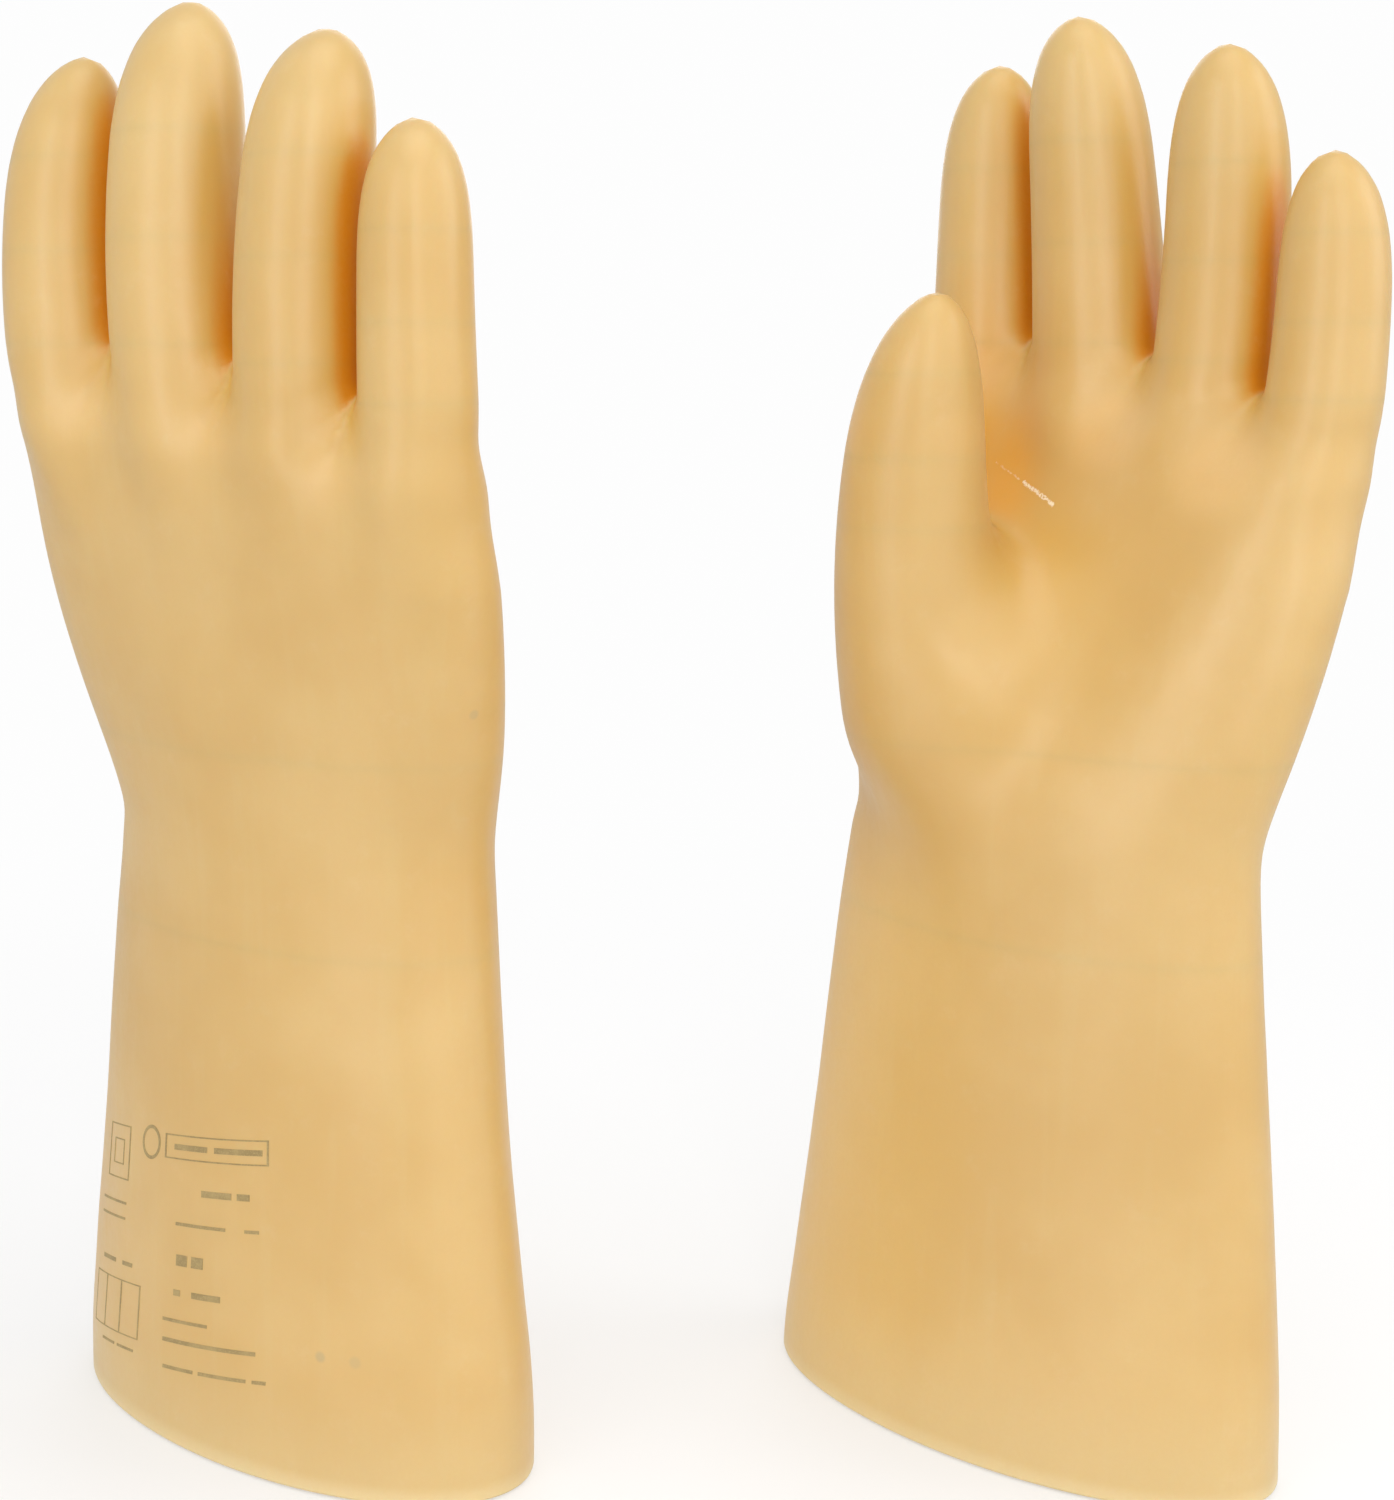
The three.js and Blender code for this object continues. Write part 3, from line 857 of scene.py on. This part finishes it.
def ink():
    """Thin faded print: grey-brown, broken where the rubber didn't take it."""
    t = Tree("print_ink")
    p = t.attribute("rest_mm", "Vector")
    fade = t.noise(p, 0.25, 4, 0.65)
    speck = t.noise(p, 2.4, 2, 0.6)
    base = t.mix(t.ramp(fade, 0.35, 0.68), srgb(152, 130, 84), srgb(174, 150, 100))
    base = t.mix(t.math("MULTIPLY", t.ramp(speck, 0.5, 0.68), 0.7), base, srgb(184, 160, 106))
    rough = t.ramp(fade, 0.3, 0.7, 0.46, 0.58)
    bump = t.add("Bump", Height=speck)
    bump.inputs["Strength"].default_value = 0.3
    bump.inputs["Distance"].default_value = 0.00002
    shader = t.add("BsdfPrincipled", Base_Color=base, Roughness=rough, Normal=bump.outputs[0])
    shader.inputs["Specular IOR Level"].default_value = 0.35
    out = t.add("OutputMaterial")
    t.t.links.new(shader.outputs[0], out.inputs[0])
    return t.material


# ------------------------------------------------------------------ print on the right cuff
# Blank panels, bars and plain outlines in place of a printed block. Across is the angle round the cuff
# in degrees, falling to the right as seen from outside; up is the height in millimetres.
def cuff_point(angle, up, lift):
    cx, cy, a, b, turn, _n = [np.interp(up, LEVELS, TRUNK[:, j]) for j in range(6)]
    t, k = np.radians(angle), np.radians(turn)
    x, y = a * np.cos(t), b * np.sin(t)
    nx, ny = np.cos(t) / a, np.sin(t) / b
    g = np.hypot(nx, ny)
    x, y = x + lift * nx / g, y + lift * ny / g
    return np.stack([cx + x * np.cos(k) - y * np.sin(k), cy + x * np.sin(k) + y * np.cos(k), up], -1)


class Print:
    TILT = -0.19  # the block was stamped slightly off level, mm per degree

    def __init__(self):
        self.co, self.faces = [], []

    def band(self, top, low):
        """A strip between two rows of (angle, height) points, as a thin closed solid."""
        top, low = np.array(top, float), np.array(low, float)
        for row in (top, low):
            row[:, 1] += self.TILT * (row[:, 0] - 100)
        n = len(top)
        i0 = sum(len(c) for c in self.co)
        self.co += [cuff_point(top[:, 0], top[:, 1], 0.07), cuff_point(low[:, 0], low[:, 1], 0.07),
                    cuff_point(top[:, 0], top[:, 1], -0.12), cuff_point(low[:, 0], low[:, 1], -0.12)]
        A, B, C, D = i0, i0 + n, i0 + 2 * n, i0 + 3 * n
        for i in range(n - 1):
            j = i + 1
            self.faces += [(A + i, A + j, B + j, B + i), (C + i, D + i, D + j, C + j),
                           (A + i, C + i, C + j, A + j), (B + i, B + j, D + j, D + i)]
        if not np.allclose(top[0], top[-1]):  # a strip that meets itself has no ends
            self.faces += [(A, B, D, C), (A + n - 1, C + n - 1, D + n - 1, B + n - 1)]

    def bar(self, left, right, low, high):
        n = max(2, int(abs(right - left) / 1.2) + 1)
        a = np.linspace(left, right, n)
        self.band([(v, high) for v in a], [(v, low) for v in a])

    def frame(self, left, right, low, high, w):
        k = w / 0.62  # one degree is about 0.62 to 1.2 mm across
        self.bar(left, right, high - w, high)
        self.bar(left, right, low, low + w)
        gap = 0.01  # the strips don't share corners
        self.bar(left, left - k, low + w + gap, high - w - gap)
        self.bar(right + k, right, low + w + gap, high - w - gap)

    def circle(self, angle, up, rx, ry, w, n=36):
        t = np.linspace(0, 2 * math.pi, n + 1)
        s = np.linspace(1, 0, 2)
        outer = [(angle - rx * math.cos(v), up + ry * math.sin(v)) for v in t]
        kx, ky = 1 - w / ry, 1 - w / ry
        inner = [(angle - rx * kx * math.cos(v), up + ry * ky * math.sin(v)) for v in t]
        self.band(outer, inner)

    def words(self, left, low, h, lengths, gap=1.6):
        a = left
        low, h = low + 0.15 * h, 0.7 * h
        for d in lengths:
            self.bar(a, a - d, low, low + h)
            a -= d + gap


def cuff_print():
    b = Print()
    # blank title panel with a bar inside it, and a plain ring beside it
    b.frame(104.5, 72.0, 75.5, 82.0, 0.35)
    b.words(101.0, 77.7, 2.1, [11.0, 14.0], 2.2)
    b.circle(110.3, 79.0, 3.9, 4.6, 0.9)
    # a plain outlined square in the left column
    b.frame(135.0, 120.5, 67.0, 82.0, 0.35)
    b.frame(131.0, 124.0, 71.0, 78.0, 0.3)
    # rows of bars
    b.words(91.5, 66.0, 2.4, [9.0, 3.6])
    b.words(99.6, 57.9, 1.2, [15.5, 4.0], 5.4)
    b.words(98.9, 46.8, 4.2, [3.6, 3.6], 1.3)
    b.words(99.4, 39.0, 2.3, [2.2, 8.5], 3.6)
    b.words(102.7, 32.0, 1.2, [14.0])
    b.words(102.4, 26.4, 1.5, [27.0])
    b.words(101.8, 19.2, 1.3, [9.5, 13.0, 3.5], 1.6)
    # left column: short rows, a row of blank boxes, and one row below
    b.words(138.0, 60.2, 0.9, [17.0])
    b.words(138.0, 56.0, 0.9, [17.0])
    b.words(134.0, 43.5, 1.6, [9.0, 5.0], 4.0)
    b.frame(139.5, 111.8, 24.5, 39.5, 0.3)
    b.bar(130.4, 129.8, 24.8, 39.2)
    b.bar(121.2, 120.6, 24.8, 39.2)
    b.words(131.0, 20.6, 1.0, [8.0, 8.0])
    local = np.concatenate(b.co)
    mesh = bpy.data.meshes.new("right_cuff_print")
    mesh.from_pydata(to_row("right", local).tolist(), [], b.faces)
    mesh.update()
    rest = mesh.attributes.new("rest_mm", "FLOAT_VECTOR", "POINT")
    rest.data.foreach_set("vector", local.astype(np.float32).ravel())
    bm = bmesh.new()
    bm.from_mesh(mesh)
    bmesh.ops.remove_doubles(bm, verts=bm.verts, dist=1e-7)
    bmesh.ops.recalc_face_normals(bm, faces=bm.faces)
    bm.to_mesh(mesh)
    bm.free()
    obj = bpy.data.objects.new("right_cuff_print", mesh)
    bpy.context.scene.collection.objects.link(obj)
    return obj


# ------------------------------------------------------------------ the pair
def shading(field, p, n):
    """How hollow and how swelling the skin is at each point, how near the thumb and how near a crotch's foot, 0 to 1."""
    hollow = np.zeros(len(p))
    for h, w in ((2.5, 0.15), (6.0, 0.35), (12.0, 0.30), (22.0, 0.20)):
        hollow += w * np.clip(1 - field(p + h * n) / h, 0, 1)
    near, lee = field.facing(p, n)
    hollow = np.clip(hollow * 0.55 + near * 0.66, 0, 1)
    swell = np.zeros(len(p))
    for h in (4.0, 8.0):
        swell += 0.5 * np.clip(field(p + h * n) / h - 1, 0, 1)
    return hollow, swell, lee, field.cushion(p)


def dress(side):
    p, n, faces, piece, pinned, field = glove_surface(side)
    hollow, swell, lee, web = shading(field, p, n)
    skin = latex(side)
    base_z = {k: v[0] for k, v in FLEX.items()}
    for name in dict.fromkeys(piece.tolist()):
        sub = [f for f, q in zip(faces, piece) if q == name]
        obj = build_piece(side, name, p, n, sub, pinned)
        used = np.unique(np.concatenate([np.array(f) for f in sub]))
        m = len(used)
        for key, values in (("hollow", hollow), ("swell", swell), ("lee", lee), ("web", web)):
            data = np.zeros(len(obj.data.vertices), np.float32)
            data[:m] = values[used]
            at = obj.data.attributes.new(key, "FLOAT", "POINT")
            at.data.foreach_set("value", data)
        obj.data.materials.append(skin)
        pre = side + "_"
        if name == "gauntlet":
            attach(obj, pre + "gauntlet")
            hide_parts(pre + "gauntlet")
        elif name == "wrist":
            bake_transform(obj)
            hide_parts(pre + "gauntlet", pre + "hand")
        elif name == "hand":
            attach(obj, pre + "hand")
            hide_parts(pre + "hand")
        else:
            digit, part = name.split("_")
            base, _mid, a, b = FLEX[digit]
            if part == "root":
                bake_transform(obj)
                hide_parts(pre + digit + "_base")
            elif part == "middle":
                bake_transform(obj)
                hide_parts(pre + digit + "_base", pre + digit + "_tip")
            else:
                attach(obj, pre + digit + "_tip")
                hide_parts(pre + digit + "_tip")


dress("left")
dress("right")
marks = cuff_print()
marks.data.materials.append(ink())
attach(marks, "right_gauntlet")


# ------------------------------------------------------------------ stage, lights and camera
BACK = (0.985, 0.985, 0.985)
AMBIENT = 0.63


def stage_floor():
    t = Tree("stage_floor")
    geo = t.add("NewGeometry")
    d = t.add("VectorMath", {"operation": "LENGTH"})
    t.put(d, 0, geo.outputs["Position"])
    far = t.ramp(d.outputs["Value"], 0.10, 0.75, 0.45, 1.0)
    tone = t.mix(t.noise(geo.outputs["Position"], 9.0, 3, 0.6), (0.90, 0.90, 0.90, 1), (0.93, 0.93, 0.93, 1))
    near = t.add("BsdfPrincipled", Base_Color=tone)
    near.inputs["Roughness"].default_value = 0.7
    glow = t.add("Emission")
    glow.inputs["Color"].default_value = BACK + (1,)
    path = t.add("LightPath")
    t.put(glow, "Strength", t.ramp(path.outputs["Is Camera Ray"], 0, 1, AMBIENT, 1.0, smooth=False))
    mix = t.add("MixShader", Fac=far)
    t.t.links.new(near.outputs[0], mix.inputs[1])
    t.t.links.new(glow.outputs[0], mix.inputs[2])
    out = t.add("OutputMaterial")
    t.t.links.new(mix.outputs[0], out.inputs[0])
    mesh = bpy.data.meshes.new("floor")
    n, rings = 64, (0.0, 1.0, 6.0, 40.0)
    co = [(0, 0, -0.0004)]
    faces = []
    for r in rings[1:]:
        co += [(r * math.cos(2 * math.pi * i / n), r * math.sin(2 * math.pi * i / n), -0.0004) for i in range(n)]
    for i in range(n):
        faces.append((0, 1 + i, 1 + (i + 1) % n))
    for k in range(len(rings) - 2):
        a = 1 + k * n
        for i in range(n):
            j = (i + 1) % n
            faces.append((a + i, a + n + i, a + n + j, a + j))
    mesh.from_pydata(co, [], faces)
    mesh.materials.append(t.material)
    floor = bpy.data.objects.new("floor", mesh)
    bpy.context.scene.collection.objects.link(floor)


stage_floor()

world = bpy.data.worlds.new("world")
bpy.context.scene.world = world
world.use_nodes = True
background = world.node_tree.nodes["Background"]
background.inputs[0].default_value = BACK + (1,)
path = world.node_tree.nodes.new("ShaderNodeLightPath")
seen = world.node_tree.nodes.new("ShaderNodeMapRange")  # the backdrop as seen, and dimmer as a light
seen.inputs["To Min"].default_value = AMBIENT
seen.inputs["To Max"].default_value = 1.0
world.node_tree.links.new(path.outputs["Is Camera Ray"], seen.inputs["Value"])
world.node_tree.links.new(seen.outputs[0], background.inputs[1])


def area(name, azimuth, elevation, distance, width, height, power, aim=(0, 0, 0.18), tint=(1, 1, 1), shadow=True):
    light = bpy.data.lights.new(name, "AREA")
    light.shape = "RECTANGLE"
    light.size, light.size_y = width, height
    light.energy = power
    light.color = tint
    light.use_shadow = shadow
    obj = bpy.data.objects.new(name, light)
    a, e = math.radians(azimuth), math.radians(elevation)
    back = Vector((math.sin(a) * math.cos(e), -math.cos(a) * math.cos(e), math.sin(e)))
    obj.location = Vector(aim) + back * distance
    obj.rotation_mode = "QUATERNION"
    obj.rotation_quaternion = (-back).to_track_quat("-Z", "Y")
    bpy.context.scene.collection.objects.link(obj)
    return obj


VIEW = 41.2643  # direction of the camera, degrees from straight in front
area("strip_left", VIEW - 36, 14, 1.35, 0.25, 1.5, 0.8)
area("strip_left_fill", VIEW - 36, 14, 1.35, 0.25, 1.5, 4.3, shadow=False)
area("fill_left", VIEW - 40, 10, 1.35, 0.90, 1.5, 1.0, shadow=False)
area("fill_right", VIEW + 42, 16, 1.15, 0.80, 1.2, 2.2, aim=(0.07, 0.06, 0.18), shadow=False)
area("strip_front", VIEW + 8, 20, 1.50, 0.30, 1.4, 4.4)
area("fill_front", VIEW + 8, 20, 1.50, 0.90, 1.4, 1.8, shadow=False)
area("soft_right", VIEW + 82, 24, 1.4, 0.7, 1.1, 5.0)
area("soft_top", VIEW + 10, 74, 1.3, 1.0, 1.0, 4.0)
area("soft_back", VIEW + 178, 26, 1.6, 1.2, 1.2, 5.0)

cam = bpy.data.cameras.new("camera")
camera = bpy.data.objects.new("camera", cam)
bpy.context.scene.collection.objects.link(camera)
bpy.context.scene.camera = camera
cam.sensor_fit = "AUTO"
cam.sensor_width = 36.0
cam.lens = 2359.162 * 36.0 / 1500.0
cam.clip_start, cam.clip_end = 0.01, 60.0
pitch, reach = 0.17980040210550868, 0.600
turn = math.radians(VIEW)
look = Vector((-math.sin(turn) * math.cos(pitch), math.cos(turn) * math.cos(pitch), -math.sin(pitch)))
target = Vector((0.00303, 0.00776, 0.177045))
camera.location = target - look * reach
camera.rotation_mode = "QUATERNION"
camera.rotation_quaternion = look.to_track_quat("-Z", "Y")

bpy.context.scene.view_settings.view_transform = "Standard"
